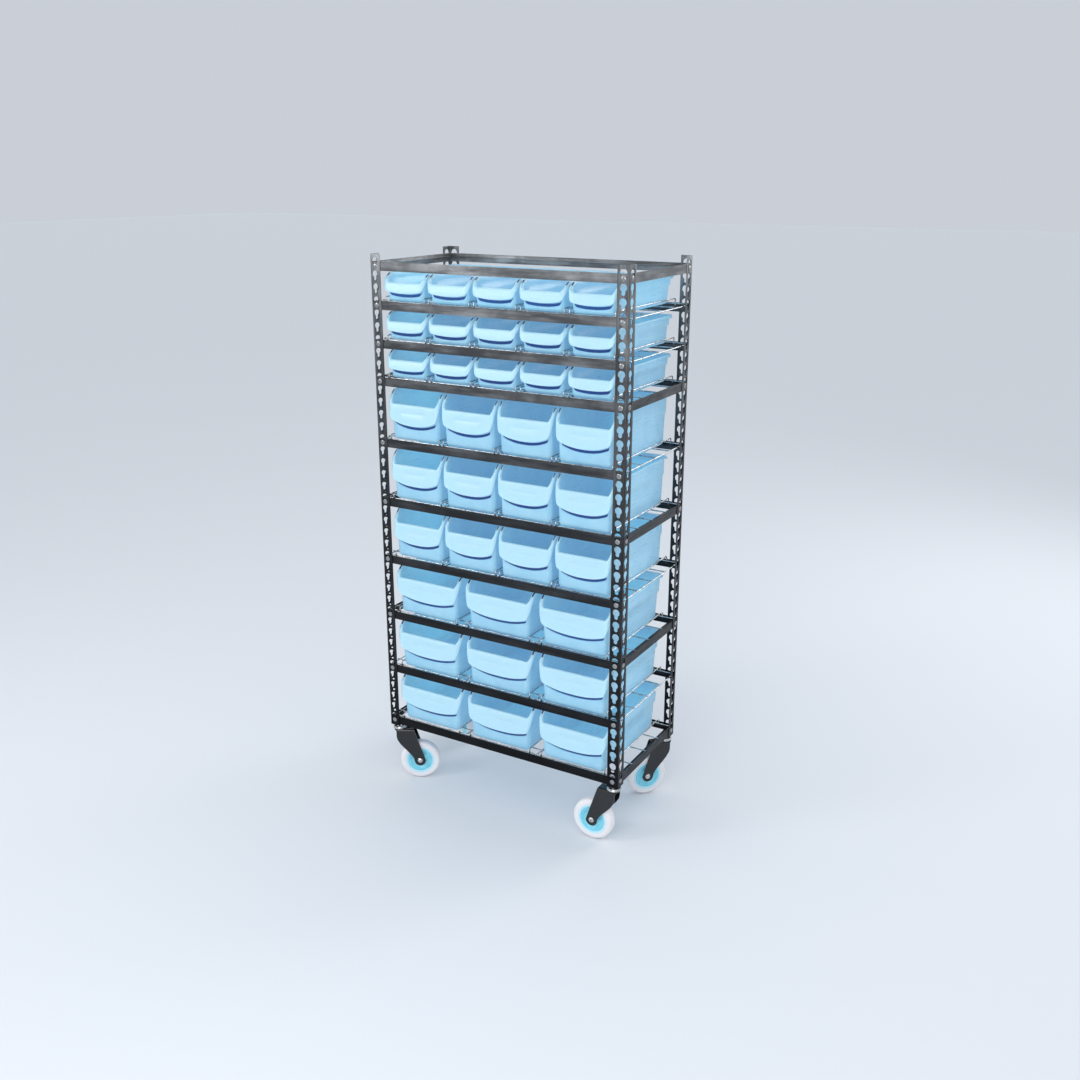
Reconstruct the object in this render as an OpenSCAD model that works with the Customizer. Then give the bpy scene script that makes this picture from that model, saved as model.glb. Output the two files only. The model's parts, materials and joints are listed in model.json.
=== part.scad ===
// Mobile bin rack: four slotted angle posts, riveted beams, wire decks with guide hoops,
// thirty-six pull-out bins in three sizes and four swivel castors.
// +X runs to the right, the open front faces -Y, and +Z points up from the floor.

/* [Rack] */
// Width over the posts
rack_w = 852; // [780:1:960]
// Depth over the posts
rack_d = 416; // [380:1:480]
// Distance from one keyhole to the next up a post
slot_pitch = 38.1; // [38:0.1:44]
// Keyholes between two beams around the small bins
small_steps = 3; // [3:1:4]
// Keyholes between two beams around the medium and large bins
tall_steps = 5; // [5:1:6]
// Rows of bins of each size
rows_per_size = 3; // [1:1:3]

/* [Posts] */
// Width of a post's front or back flange
post_face_w = 36; // [34:1:40]
// Width of a post's side flange
post_side_w = 40; // [36:1:46]
// Steel thickness of posts and beams
steel_t = 2; // [1.6:0.1:2.4]
// Outer bend radius of a post
post_bend_r = 4; // [3:0.5:5]
// Post length above the top beam
post_above = 22; // [18:1:30]
// Post length below the bottom beam
post_below = 6; // [4:1:14]
// Radius of a keyhole's round head
key_head_r = 11; // [9:0.1:11.5]
// Radius of a keyhole's narrow foot
key_foot_r = 6; // [5:0.1:6.4]
// Distance between the two radii of a keyhole
key_drop = 15; // [12:0.5:16]

/* [Beams] */
// Height of a beam's face
beam_h = 26.4; // [24:0.2:30]
// Reach of a beam's ledge into the rack
ledge_w = 16; // [12:1:18]
// Radius of a rivet's head
rivet_head_r = 7.6; // [7:0.1:8.2]
// Thickness of a rivet's head
rivet_head_t = 1.5; // [1:0.1:2]

/* [Decks] */
// Diameter of every deck wire and hoop
wire_d = 4; // [3:0.2:4]
// Evenly spaced wires across the rack under each row of bins
deck_wires_across = 5; // [4:1:8]
// Distance from the first wire to the extra wire behind it
front_wire_step = 32; // [20:1:40]
// Height of a guide hoop above the deck
hoop_h = 15; // [12:0.5:18]
// Gap between a guide hoop and the bin beside it
hoop_gap = 2.5; // [2:0.1:3]

/* [Bins] */
// Wall thickness of a bin
bin_wall = 2.5; // [2:0.1:3]
// Bins side by side: small, medium, large
bin_count = [5, 4, 3]; // [2:1:6]
// Gap between the rims of neighbouring bins: small, medium, large
bin_gap = [5.75, 7, 22]; // [5:0.25:30]
// Width lost from the rim to the floor: small, medium, large
bin_taper = [20, 16, 29]; // [10:1:32]
// Space between a bin and the beam above it: small, medium, large
bin_headroom = [5.9, 12.1, 14.1]; // [4:0.1:20]
// Drop from the rim to the front lip's upper edge: small, medium, large
lip_drop = [26, 40, 32]; // [20:1:50]
// Height of the front lip: small, medium, large
lip_h = [32, 58, 60]; // [24:1:66]
// Depth of the front opening's slope
bin_slope = 42; // [36:1:50]
// Set-back of the front wall behind the lip
lip_reach = 12; // [9:0.5:15]
// Overhang of the side rim
rim_over = 4; // [3:0.2:5]
// Height of the rim
rim_h = 5; // [4:0.5:6]
// Reach of the hanger lip behind the back wall
hanger_reach = 17; // [12:0.5:20]
// Drop of the hanger lip
hanger_drop = 12; // [8:0.5:16]

/* [Castors] */
// Wheel diameter
wheel_d = 134; // [120:1:150]
// Wheel width
wheel_w = 32; // [28:0.5:36]
// Height of a castor's head, from the top of the wheel to the post
castor_head_h = 67; // [62:1:78]
// Distance from the swivel axis to the axle
castor_trail = 66; // [55:1:75]
// Distance of the swivel axis from the outer faces of the post
castor_inset = 22; // [21:0.5:24]
// Radius of the axle
axle_r = 6; // [5:0.5:7]
// Radius of the swivel stem
stem_r = 8; // [7:0.5:9]
// Directions in which the wheels trail: front left, front right, back left, back right
castor_turn = [30, 180, -40, 230]; // [-180:5:360]

/* [Hidden] */
$fn = 48;
// clearances
fit_gap = 0.3;
running_fit = 0.06;
shank_gap = 0.4;
// bins
front_gap = 2;
back_gap = 28;
side_gap = 3.5;
hanger_t = 3;
lip_chamfer = 4;
// decks and beams
wire_r = wire_d / 2;
ledge_drop = 2 * wire_d;
wire_end_gap = 1;
corner_gap = 1;
beam_tip_gap = 1;
hoop_bend_r = 6;
// castors
plate_t = 3;
nut_r = 10;
nut_h = 7;
race_r = 23;
race_h = 10;
hex_r = 15;
hex_h = 6;
fork_t = 3;
fork_gap = 1.5;
fork_top_r = 20;
fork_foot_r = 19;
fork_tail = 48;
stem_head_r = 12;
stem_head_t = 4;
axle_head_r = 9;
axle_head_t = 3.5;
fork_front_cut = 42;
fork_rear_angle = 17;
fork_front_angle = 213;
tyre_t = 27;
tyre_round = 7;
hub_collar_r = 16;
hub_web_half = 6;
hub_rim_half = 13;
hub_rim_t = 6;
hub_side_gap = 0.4;
// names
kinds = ["small", "medium", "large"];
corners = ["front_left", "front_right", "back_left", "back_right"];

// beam levels, counted from the bottom beam up
// the row i of bins, from the bottom up, holds bins of one kind: 0 small, 1 medium, 2 large
deck_rows = 3 * rows_per_size;
function kind_of(i) = i < rows_per_size ? 2 : i < 2 * rows_per_size ? 1 : 0;
function level_of(k, r) = (2 - k) * rows_per_size + rows_per_size - r;
function row_steps(k) = k == 0 ? small_steps : tall_steps;
function steps_below(i) = i == 0 ? 0 : steps_below(i - 1) + row_steps(kind_of(i - 1));
castor_h = wheel_d + castor_head_h;
post_foot_z = castor_h;
first_top_z = post_foot_z + post_below + beam_h;
function beam_top(i) = first_top_z + slot_pitch * steps_below(i);
post_top_z = beam_top(deck_rows) + post_above;
post_len = post_top_z - post_foot_z;
slots = steps_below(deck_rows) + 1;
rivet_z = first_top_z - beam_h / 2;
beam_in = post_bend_r + beam_tip_gap;

// wires, measured from the front plane and the left side
edge_wire_x = 2 * steel_t + wire_end_gap + wire_r;
hoop_leg_y = 2 * steel_t + ledge_w / 2;
first_wire_y = hoop_leg_y + wire_d;
wire_step = (rack_d - 2 * first_wire_y) / (deck_wires_across - 1);
wire_places = concat(
    [for (n = [0:deck_wires_across - 1]) first_wire_y + n * wire_step],
    [first_wire_y + front_wire_step]
);

// bins, each kind in its own row
clear_w = rack_w - 2 * post_face_w;
function bin_top_w(k) = (clear_w - 2 * side_gap + bin_gap[k]) / bin_count[k] - bin_gap[k];
function bin_foot_w(k) = bin_top_w(k) - bin_taper[k];
function bin_pitch(k) = bin_top_w(k) + bin_gap[k];
function bin_x(k, c) = (c - (bin_count[k] + 1) / 2) * bin_pitch(k);
function bin_h(k) = row_steps(k) * slot_pitch - beam_h - bin_headroom[k];
function bin_lip_high(k) = bin_h(k) - lip_drop[k];
function bin_lip_low(k) = bin_lip_high(k) - lip_h[k];
bin_back = rack_d - back_gap - hanger_reach;
wall_front = front_gap + lip_reach;

// castors
wheel_r = wheel_d / 2;
fork_half = wheel_w / 2 + fork_gap + fork_t;
axle_half = fork_half + axle_head_t;
fork_top_z = castor_h - hex_h - race_h - fit_gap;

// the box of the whole rack is centred on the origin
front_over = max(axle_half - castor_inset, race_r - castor_inset, rivet_head_t);
back_over = max(race_r - castor_inset, rivet_head_t);
front_y = -(rack_d + back_over - front_over) / 2;

bin_names = [for (k = [0:2], r = [1:rows_per_size], c = [1:bin_count[k]]) bin_name(k, r, c)];
castor_parts = ["castor_fork", "wheel_hub", "tyre"];

function bin_name(k, r, c) = str(kinds[k], "_bin_", r, "_", c);

// mirrors a front left shape into corner i
module to_corner(i) {
    translate([0, front_y + rack_d / 2, 0])
        mirror([i % 2, 0, 0])
            mirror([0, i >= 2 ? 1 : 0, 0])
                translate([-rack_w / 2, -rack_d / 2, 0])
                    children();
}

// keyhole centred on the rivet that drops into its foot
module keyhole() {
    circle(r = key_foot_r);
    translate([-key_foot_r, 0])
        square([2 * key_foot_r, key_drop]);
    translate([0, key_drop])
        circle(r = key_head_r);
}

module slotted_strip(width) {
    difference() {
        translate([post_bend_r, 0])
            square([width - post_bend_r, post_len]);
        for (s = [0:slots - 1])
            translate([width / 2, rivet_z - post_foot_z + s * slot_pitch])
                keyhole();
    }
}

module post() {
    color("dimgray")
        translate([0, 0, post_foot_z]) {
            translate([0, steel_t, 0])
                rotate([90, 0, 0])
                    linear_extrude(steel_t)
                        slotted_strip(post_face_w);
            rotate([90, 0, 90])
                linear_extrude(steel_t)
                    slotted_strip(post_side_w);
            translate([post_bend_r, post_bend_r, 0])
                rotate([0, 0, 180])
                    linear_extrude(post_len)
                        difference() {
                            intersection() {
                                circle(r = post_bend_r);
                                square(post_bend_r);
                            }
                            circle(r = post_bend_r - steel_t);
                        }
        }
}

// beam along +X with its face towards -Y and its top edge at z = 0
module beam(length, ledge_from) {
    translate([0, 0, -beam_h])
        cube([length, steel_t, beam_h]);
    translate([ledge_from, steel_t, -ledge_drop - steel_t])
        cube([length - 2 * ledge_from, ledge_w, steel_t]);
}

module front_beams() {
    color("gray")
        for (i = [0:deck_rows])
            translate([-rack_w / 2 + beam_in, front_y + steel_t, beam_top(i)])
                beam(rack_w - 2 * beam_in, 0);
}

module back_beams() {
    color("gray")
        translate([0, 2 * front_y + rack_d, 0])
            mirror([0, 1, 0])
                front_beams();
}

// the sides are braced at every second level and at the top
module side_beams() {
    ledge_start = 2 * steel_t + ledge_w + corner_gap - beam_in;
    color("gray")
        for (i = [0:2:deck_rows], side = [0, 1])
            mirror([side, 0, 0])
                translate([-rack_w / 2 + steel_t, front_y + rack_d - beam_in, beam_top(brace(i))])
                    rotate([0, 0, -90])
                        beam(rack_d - 2 * beam_in, ledge_start);
}

function brace(i) = i == deck_rows - 1 ? deck_rows : i;

module rivet() {
    shank_r = key_foot_r - shank_gap;
    translate([0, 0, -steel_t])
        cylinder(r = shank_r, h = steel_t);
    cylinder(r = rivet_head_r, h = rivet_head_t);
}

module beam_rivets() {
    color("lightgray")
        for (c = [0:3]) {
            for (i = [0:deck_rows])
                to_corner(c)
                    translate([post_face_w / 2, 0, beam_top(i) - beam_h / 2])
                        rotate([90, 0, 0])
                            rivet();
            for (i = [0:2:deck_rows])
                to_corner(c)
                    translate([0, post_side_w / 2, beam_top(brace(i)) - beam_h / 2])
                        rotate([0, -90, 0])
                            rivet();
        }
}

module deck_wires() {
    reach = rack_w / 2 - edge_wire_x + wire_r;
    run = rack_d - 2 * (2 * steel_t + wire_end_gap);
    color("silver")
        for (i = [0:deck_rows - 1]) {
            k = kind_of(i);
            ends = rack_w / 2 - edge_wire_x;
            between = [for (c = [1:bin_count[k] - 1]) bin_x(k, c) + bin_pitch(k) / 2];
            for (y = wire_places)
                translate([-reach, front_y + y, beam_top(i) - wire_r])
                    rotate([0, 90, 0])
                        cylinder(r = wire_r, h = 2 * reach);
            for (x = concat([-ends, ends], between))
                translate([x, front_y + (rack_d - run) / 2, beam_top(i) - 3 * wire_r])
                    rotate([-90, 0, 0])
                        cylinder(r = wire_r, h = run);
        }
}

// an inverted U of wire in the YZ plane, its feet at z = 0
module hoop(length, height) {
    straight = length - 2 * hoop_bend_r;
    rise = height - hoop_bend_r;
    for (end = [0, 1])
        translate([0, end * length, 0])
            mirror([0, end, 0]) {
                cylinder(r = wire_r, h = rise);
                translate([0, hoop_bend_r, rise])
                    rotate([90, 0, -90])
                        rotate_extrude(angle = 90)
                            translate([hoop_bend_r, 0])
                                circle(r = wire_r);
            }
    translate([0, hoop_bend_r, height])
        rotate([-90, 0, 0])
            cylinder(r = wire_r, h = straight);
}

module guide_hoops() {
    length = rack_d - 2 * hoop_leg_y;
    height = ledge_drop + hoop_h - wire_r;
    color("silver")
        for (i = [0:deck_rows - 1]) {
            k = kind_of(i);
            beside = bin_foot_w(k) / 2 + hoop_gap + wire_r;
            for (c = [1:bin_count[k]], side = [-1, 1])
                translate([bin_x(k, c) + side * beside, front_y + hoop_leg_y, beam_top(i) - ledge_drop])
                    hoop(length, height);
        }
}

module foot_plates() {
    plate_w = min(post_face_w, post_side_w) - steel_t;
    bend_r = post_bend_r - steel_t;
    color("dimgray")
        for (c = [0:3])
            to_corner(c)
                difference() {
                    translate([steel_t, steel_t, castor_h])
                        linear_extrude(plate_t)
                            polygon([
                                [bend_r, 0],
                                [plate_w, 0],
                                [plate_w, plate_w],
                                [0, plate_w],
                                [0, bend_r]
                            ]);
                    translate([castor_inset, castor_inset, castor_h - 1])
                        cylinder(r = stem_r + running_fit, h = plate_t + 2);
                }
}

// profiles of a bin, seen from its side: y from the front plane, z from the deck
function body_side(k) = [
    [wall_front, 0],
    [wall_front, bin_lip_low(k) + bin_wall],
    [front_gap + bin_wall, bin_lip_high(k)],
    [front_gap + bin_slope, bin_h(k)],
    [bin_back, bin_h(k)],
    [bin_back, 0]
];

function band_side(k) = [
    [front_gap, bin_lip_low(k) + lip_chamfer],
    [front_gap, bin_lip_high(k) - lip_chamfer],
    [front_gap + lip_chamfer, bin_lip_high(k)],
    [front_gap + bin_slope, bin_h(k)],
    [bin_back + hanger_reach, bin_h(k)],
    [bin_back + hanger_reach, bin_h(k) - hanger_drop],
    [bin_back + hanger_reach - hanger_t, bin_h(k) - hanger_drop],
    [bin_back + hanger_reach - hanger_t, bin_h(k) - rim_h],
    [front_gap + bin_slope + rim_h, bin_h(k) - rim_h],
    [wall_front, bin_lip_high(k) - 2 * rim_h],
    [wall_front, bin_lip_low(k)],
    [front_gap + lip_chamfer, bin_lip_low(k)]
];

function cavity_side(k) = [
    [wall_front + bin_wall, bin_wall],
    [wall_front + bin_wall, bin_lip_low(k) + bin_wall],
    [front_gap + 2 * bin_wall, bin_lip_high(k)],
    [front_gap + 2 * bin_wall, bin_h(k) + bin_wall],
    [bin_back - bin_wall, bin_h(k) + bin_wall],
    [bin_back - bin_wall, bin_wall]
];

// cross-section of a bin, seen from the front; it widens by the same slope over any height
module tapered(k, inset, low, high) {
    top_half = bin_top_w(k) / 2 - rim_over;
    lean = (top_half - bin_foot_w(k) / 2) / bin_h(k);
    half_low = bin_foot_w(k) / 2 + lean * low - inset;
    half_high = bin_foot_w(k) / 2 + lean * high - inset;
    translate([0, rack_d, 0])
        rotate([90, 0, 0])
            linear_extrude(rack_d)
                polygon([[-half_low, low], [half_low, low], [half_high, high], [-half_high, high]]);
}

module side_profile(width, points) {
    translate([-width / 2, 0, 0])
        rotate([90, 0, 90])
            linear_extrude(width)
                polygon(points);
}

module bin(k) {
    difference() {
        union() {
            intersection() {
                side_profile(bin_top_w(k), body_side(k));
                tapered(k, 0, 0, bin_h(k));
            }
            side_profile(bin_top_w(k), band_side(k));
        }
        intersection() {
            side_profile(bin_top_w(k), cavity_side(k));
            tapered(k, bin_wall, 0, bin_h(k) + bin_wall);
        }
    }
}

module bin_at(k, r, c) {
    color("lightskyblue")
        translate([bin_x(k, c), front_y, beam_top(level_of(k, r)) + fit_gap])
            bin(k);
}

function castor_x(i) = (i % 2 == 0 ? -1 : 1) * (rack_w / 2 - castor_inset);
function castor_y(i) = front_y + (i < 2 ? castor_inset : rack_d - castor_inset);

// moves a castor shape, whose wheel trails along +X, to corner i
module to_castor(i) {
    translate([castor_x(i), castor_y(i), 0])
        rotate([0, 0, castor_turn[i]])
            children();
}

module ring(outer_r, inner_r, height, sides) {
    difference() {
        cylinder(r = outer_r, h = height, $fn = sides);
        translate([0, 0, -1])
            cylinder(r = inner_r, h = height + 2);
    }
}

module castor_stems() {
    bore_r = stem_r + running_fit;
    foot_z = fork_top_z - fork_t - fit_gap;
    color("silver")
        for (i = [0:3])
            translate([castor_x(i), castor_y(i), 0]) {
                translate([0, 0, foot_z - stem_head_t])
                    cylinder(r = stem_head_r, h = stem_head_t);
                translate([0, 0, foot_z])
                    cylinder(r = stem_r, h = castor_h + plate_t + nut_h + 2 - foot_z);
                translate([0, 0, castor_h + plate_t])
                    ring(nut_r, bore_r, nut_h, 6);
                translate([0, 0, castor_h - hex_h])
                    ring(hex_r, bore_r, hex_h, 6);
                translate([0, 0, castor_h - hex_h - race_h])
                    ring(race_r, bore_r, race_h, $fn);
            }
}

module fork_leg() {
    foot = [castor_trail, wheel_r];
    rear = foot + fork_foot_r * [cos(fork_rear_angle), sin(fork_rear_angle)];
    front = foot + fork_foot_r * [cos(fork_front_angle), sin(fork_front_angle)];
    rotate([90, 0, 0])
        linear_extrude(fork_t)
            difference() {
                union() {
                    polygon([
                        [-stem_head_r, fork_top_z],
                        [fork_tail, fork_top_z],
                        rear,
                        foot,
                        front,
                        [-stem_head_r, fork_top_z - fork_front_cut]
                    ]);
                    translate(foot)
                        circle(r = fork_foot_r);
                }
                translate(foot)
                    circle(r = axle_r + running_fit);
            }
}

module castor_fork(i) {
    color("black")
        to_castor(i) {
            for (side = [0, 1])
                mirror([0, side, 0])
                    translate([0, fork_half, 0])
                        fork_leg();
            translate([0, 0, fork_top_z - fork_t])
                difference() {
                    union() {
                        cylinder(r = fork_top_r, h = fork_t);
                        translate([0, -fork_half + fork_t, 0])
                            cube([fork_tail, 2 * (fork_half - fork_t), fork_t]);
                    }
                    translate([0, 0, -1])
                        cylinder(r = stem_r + running_fit, h = fork_t + 2);
                }
        }
    color("silver")
        to_castor(i)
            translate([castor_trail, 0, wheel_r])
                rotate([90, 0, 0]) {
                    translate([0, 0, -axle_half])
                        cylinder(r = axle_r, h = 2 * axle_half);
                    for (side = [0, 1])
                        mirror([0, 0, side])
                            translate([0, 0, fork_half + running_fit])
                                cylinder(r = axle_head_r, h = axle_head_t - running_fit);
                }
}

// turns a profile around the axle of castor i
module around_axle(i) {
    to_castor(i)
        translate([castor_trail, 0, wheel_r])
            rotate([90, 0, 0])
                rotate_extrude()
                    children();
}

module wheel_hub(i) {
    bore_r = axle_r + running_fit;
    collar_half = wheel_w / 2 + fork_gap - hub_side_gap;
    seat_r = wheel_r - tyre_t;
    color("paleturquoise")
        around_axle(i)
            union() {
                translate([bore_r, -collar_half])
                    square([hub_collar_r - bore_r, 2 * collar_half]);
                translate([bore_r, -hub_web_half])
                    square([seat_r - bore_r, 2 * hub_web_half]);
                translate([seat_r - hub_rim_t, -hub_rim_half])
                    square([hub_rim_t, 2 * hub_rim_half]);
            }
}

module tyre(i) {
    seat_r = wheel_r - tyre_t;
    color("whitesmoke")
        around_axle(i) {
            translate([seat_r, -wheel_w / 2])
                square([tyre_t - tyre_round, wheel_w]);
            translate([seat_r, -wheel_w / 2 + tyre_round])
                square([tyre_t, wheel_w - 2 * tyre_round]);
            for (side = [-1, 1])
                translate([wheel_r - tyre_round, side * (wheel_w / 2 - tyre_round)])
                    circle(r = tyre_round);
        }
}

for (c = [0:3])
    to_corner(c) post();
front_beams();
back_beams();
side_beams();
beam_rivets();
deck_wires();
guide_hoops();
foot_plates();
castor_stems();
for (c = [0:3]) {
    castor_fork(c);
    wheel_hub(c);
    tyre(c);
}
for (k = [0:2], r = [1:rows_per_size], c = [1:bin_count[k]])
    bin_at(k, r, c);
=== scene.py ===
# %% [markdown]
# A rolling rack of parts bins
#
# This lesson dresses a finished CAD model for a picture. The rack is a steel frame of slotted angle
# posts and riveted beams on four castors. Thirty-six blue plastic bins stand on its wire decks.
# The CAD model gives every size and place, so the script starts by loading it as a fixed frame.

# %% Load the frame
import json
import math

import bmesh
import bpy
from mathutils import Matrix, Vector

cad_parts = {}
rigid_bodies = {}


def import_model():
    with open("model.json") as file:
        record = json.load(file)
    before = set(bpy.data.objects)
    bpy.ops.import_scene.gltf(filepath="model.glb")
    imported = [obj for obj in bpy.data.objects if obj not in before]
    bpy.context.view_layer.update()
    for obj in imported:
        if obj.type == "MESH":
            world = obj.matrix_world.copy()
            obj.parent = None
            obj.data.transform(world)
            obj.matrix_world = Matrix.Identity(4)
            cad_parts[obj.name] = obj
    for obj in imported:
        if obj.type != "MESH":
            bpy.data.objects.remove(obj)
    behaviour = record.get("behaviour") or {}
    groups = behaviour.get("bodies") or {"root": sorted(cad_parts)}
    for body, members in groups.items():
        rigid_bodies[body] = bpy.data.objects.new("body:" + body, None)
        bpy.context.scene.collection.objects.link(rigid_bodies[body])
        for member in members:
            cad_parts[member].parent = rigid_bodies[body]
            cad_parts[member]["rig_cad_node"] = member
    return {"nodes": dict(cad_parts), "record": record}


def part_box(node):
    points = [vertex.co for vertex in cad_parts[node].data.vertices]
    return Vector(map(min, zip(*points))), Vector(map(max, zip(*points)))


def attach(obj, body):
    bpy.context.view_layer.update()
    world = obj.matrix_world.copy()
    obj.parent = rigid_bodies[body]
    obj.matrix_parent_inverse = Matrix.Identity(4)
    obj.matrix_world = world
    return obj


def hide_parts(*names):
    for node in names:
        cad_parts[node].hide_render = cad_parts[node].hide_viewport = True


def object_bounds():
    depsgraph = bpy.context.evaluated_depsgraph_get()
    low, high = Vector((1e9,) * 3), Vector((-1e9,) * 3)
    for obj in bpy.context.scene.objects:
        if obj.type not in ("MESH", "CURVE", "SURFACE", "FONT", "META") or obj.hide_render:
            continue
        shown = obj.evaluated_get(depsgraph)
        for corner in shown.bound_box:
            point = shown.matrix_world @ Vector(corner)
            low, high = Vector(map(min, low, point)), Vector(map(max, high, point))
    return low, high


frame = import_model()
cad_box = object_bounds()
record = frame["record"]
MM = 0.001


# %% [markdown]
# Four helpers come back in many cells. The first turns a bmesh into an object that rides on a body of
# the frame and stands in for a CAD node. The second gives it smooth shading and a small bevel on its
# sharp edges, because real edges are never perfectly sharp and catch the light. The last two slide
# from one value to another, evenly or with a soft start and end.


# %% Helpers for pieces
def finish_piece(name, bm, body, material, replaces=()):
    mesh = bpy.data.meshes.new(name)
    bm.to_mesh(mesh)
    bm.free()
    mesh.materials.append(material)
    piece = bpy.data.objects.new(name, mesh)
    bpy.context.scene.collection.objects.link(piece)
    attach(piece, body)
    if replaces:
        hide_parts(*replaces)
    return piece


def soften(piece, bevel, angle):
    piece.data.shade_smooth()
    edge = piece.modifiers.new("soft_edges", "BEVEL")
    edge.width = bevel * MM
    edge.segments = 2
    edge.limit_method = "ANGLE"
    edge.angle_limit = math.radians(angle)
    edge.harden_normals = True


def smoothstep(value):
    value = min(max(value, 0.0), 1.0)
    return value * value * (3 - 2 * value)


def mix(a, b, share):
    return a + (b - a) * share


print("helpers ready")


# %% [markdown]
# Materials come next. Each one is a small node tree. Colours are written as sRGB hex values, the way a
# paint chart gives them, and one function turns them to the linear values that the renderer needs.
# One function sets the inputs of a node: a plain value is written into the input, and a socket of
# another node is linked to it. One more adds a node of any kind with its settings and inputs. A Mix
# node has a row of sockets for each type of data, so the four for colours get names here.


# %% Helpers for materials
FACTOR, FIRST_COLOUR, SECOND_COLOUR, MIXED_COLOUR = 0, 6, 7, 2


def linear(hex_colour):
    values = [int(hex_colour[i : i + 2], 16) / 255 for i in (1, 3, 5)]
    return [v / 12.92 if v <= 0.04045 else ((v + 0.055) / 1.055) ** 2.4 for v in values] + [1.0]


def set_inputs(tree, node, inputs):
    for key, value in inputs.items():
        if isinstance(value, bpy.types.NodeSocket):
            tree.links.new(value, node.inputs[key])
        else:
            node.inputs[key].default_value = value


def add_node(tree, kind, inputs=None, stops=(), **settings):
    """Add one node and return its outputs. The stops are the colours or greys of a colour ramp."""
    node = tree.nodes.new("ShaderNode" + kind)
    for key, value in settings.items():
        setattr(node, key, value)
    set_inputs(tree, node, inputs or {})
    marks = node.color_ramp.elements if stops else []
    while len(marks) < len(stops):
        marks.new(0.5)
    for mark, (position, colour) in zip(marks, stops):
        mark.position = position
        mark.color = linear(colour) if isinstance(colour, str) else [colour] * 3 + [1]
    return node.outputs


def new_material(name, colour, metallic, roughness, **more):
    material = bpy.data.materials.new(name)
    material.use_nodes = True
    shader = material.node_tree.nodes["Principled BSDF"]
    plain = {"Base Color": linear(colour), "Metallic": metallic, "Roughness": roughness}
    plain.update({key.replace("_", " "): value for key, value in more.items()})
    set_inputs(material.node_tree, shader, plain)
    return material, material.node_tree, shader


print("material helpers ready")

# %% [markdown]
# Every finish below is drawn with noise: a cloudy pattern whose scale is one over the size of its
# patches. All of them keep the same share of fine detail. Where the patches are long, as scratches and
# rolling marks are, a Mapping node squeezes the place first. The patches of these finishes are a few
# millimetres, coarser than the real grain, so that they show.

# %% One share of fine detail for all noise
FINE = 0.6
print("fine detail:", FINE)

# %% [markdown]
# The bins are polypropylene, injection moulded. That plastic is waxy and a little see-through, so
# light soaks in and shaded places turn a deeper blue. The mould leaves a soft gloss with a very fine
# unevenness, and handling leaves faint hairline scratches. The rolled edge is painted paler than the
# walls: a painted highlight for the light that soaks through the doubled sheet there. A little emission
# is a painted glow for the light that comes through a thin wall from its other side. The slots and the
# groove under the lip are painted deep blue as painted shade, and the glow fades there.


# %% Moulded polypropylene for the bins, with painted shade, a painted glow and a painted paler rim
def moulded_polypropylene():
    material, tree, shader = new_material(
        "moulded_blue_polypropylene",
        "#93CBEA",
        0.0,
        0.3,
        IOR=1.49,
        Subsurface_Weight=0.7,
        Subsurface_Radius=(0.5, 0.8, 1.0),
        Subsurface_Scale=0.02,
        # Emission is a painted glow for the light that comes through the thin wall.
        Emission_Strength=0.2,
    )
    place = add_node(tree, "TexCoord")["Object"]
    cloud = {"Vector": place, "Scale": 1 / (60 * MM), "Detail": 2, "Roughness": FINE}
    cloud = add_node(tree, "TexNoise", cloud)["Fac"]
    wall = add_node(tree, "ValToRGB", {"Fac": cloud}, [(0.3, "#86B8D9"), (0.7, "#94C3DF")])["Color"]
    # The rolled edge is painted paler: a painted highlight.
    rolled_edge_painted_light = add_node(tree, "Attribute", attribute_name="rolled_edge_painted_light")["Fac"]
    tint = {FACTOR: rolled_edge_painted_light, FIRST_COLOUR: wall, SECOND_COLOUR: linear("#A6CFE3")}
    tint = add_node(tree, "Mix", tint, data_type="RGBA")[MIXED_COLOUR]
    # Painted shade: the groove under the lip and the slots are painted deep blue.
    painted_shade_gap = add_node(tree, "Attribute", attribute_name="painted_shade_gap")["Fac"]
    shade = {FACTOR: painted_shade_gap, FIRST_COLOUR: tint, SECOND_COLOUR: linear("#0A2F6B")}
    shade = add_node(tree, "Mix", shade, data_type="RGBA")[MIXED_COLOUR]
    # The painted glow is pale blue on the walls and nearly black in the painted shade.
    painted_glow = {FACTOR: painted_shade_gap, FIRST_COLOUR: linear("#9CC6DC"), SECOND_COLOUR: linear("#04102A")}
    painted_glow = add_node(tree, "Mix", painted_glow, data_type="RGBA")[MIXED_COLOUR]
    lengthwise = add_node(tree, "Mapping", {"Vector": place, "Scale": (1, 0.08, 1)})["Vector"]
    scratch = {"Vector": lengthwise, "Scale": 1 / (5 * MM), "Detail": 4, "Roughness": FINE}
    scratch = add_node(tree, "TexNoise", scratch)["Fac"]
    gloss = add_node(tree, "ValToRGB", {"Fac": scratch}, [(0.3, 0.24), (0.75, 0.42)])["Color"]
    ripple = {"Vector": place, "Scale": 1 / (9 * MM), "Detail": 2, "Roughness": FINE}
    ripple = add_node(tree, "TexNoise", ripple)["Fac"]
    ripple = {"Height": ripple, "Distance": 0.12 * MM, "Strength": 0.25}
    relief = add_node(tree, "Bump", ripple)["Normal"]
    finish = {"Base Color": shade, "Emission Color": painted_glow, "Roughness": gloss, "Normal": relief}
    set_inputs(tree, shader, finish)
    return material


blue_plastic = moulded_polypropylene()
print("made", blue_plastic.name)

# %% [markdown]
# The frame is hot-rolled steel with a thin dark lacquer. It is worn: the lacquer is scuffed in long
# streaks along each bar. Light and shade are also painted by height: the steel is painted dark near the
# floor and paler higher up, a painted reflection of the light from above. So two ramps give a dark and
# a light colour for every height, and the wear, which is scuffs times dust, picks between them. The
# scuffs are drawn about 25 mm wide, coarser than real ones, so that they show.


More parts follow.
